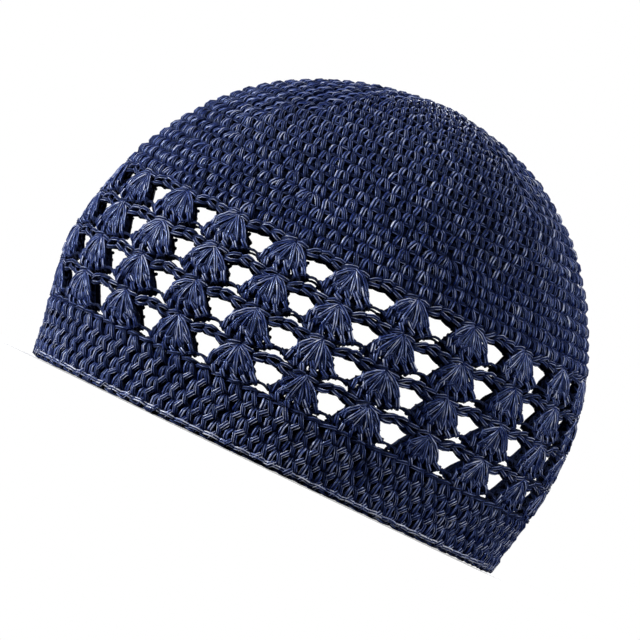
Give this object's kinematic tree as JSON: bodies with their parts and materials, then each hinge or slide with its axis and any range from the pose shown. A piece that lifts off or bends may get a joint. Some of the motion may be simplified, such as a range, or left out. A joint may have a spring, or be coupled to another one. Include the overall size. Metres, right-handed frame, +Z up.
{
  "type": "crochet kufi cap",
  "caption": "Brimless crocheted cap: closed domed crown, pierced band of shell stitches, plain band and chain-edged rim, hollow and open below.",
  "frame": {"origin": "centre of the bounding box at the rim's flat underside", "axes": "+Z up from the rim to the crown, +X along the long axis of the oval, -Y towards the side seen in the picture"},
  "size_m": [0.208, 0.1742, 0.154],
  "materials": {
    "navy_yarn": "navy two-ply cotton yarn with a soft sheen, single crochet and shell stitches"
  },
  "bodies": {
    "root": {"rim_edging": "navy_yarn", "brim_band": "navy_yarn", "openwork_band": "navy_yarn", "crown": "navy_yarn"}
  },
  "joints": []
}
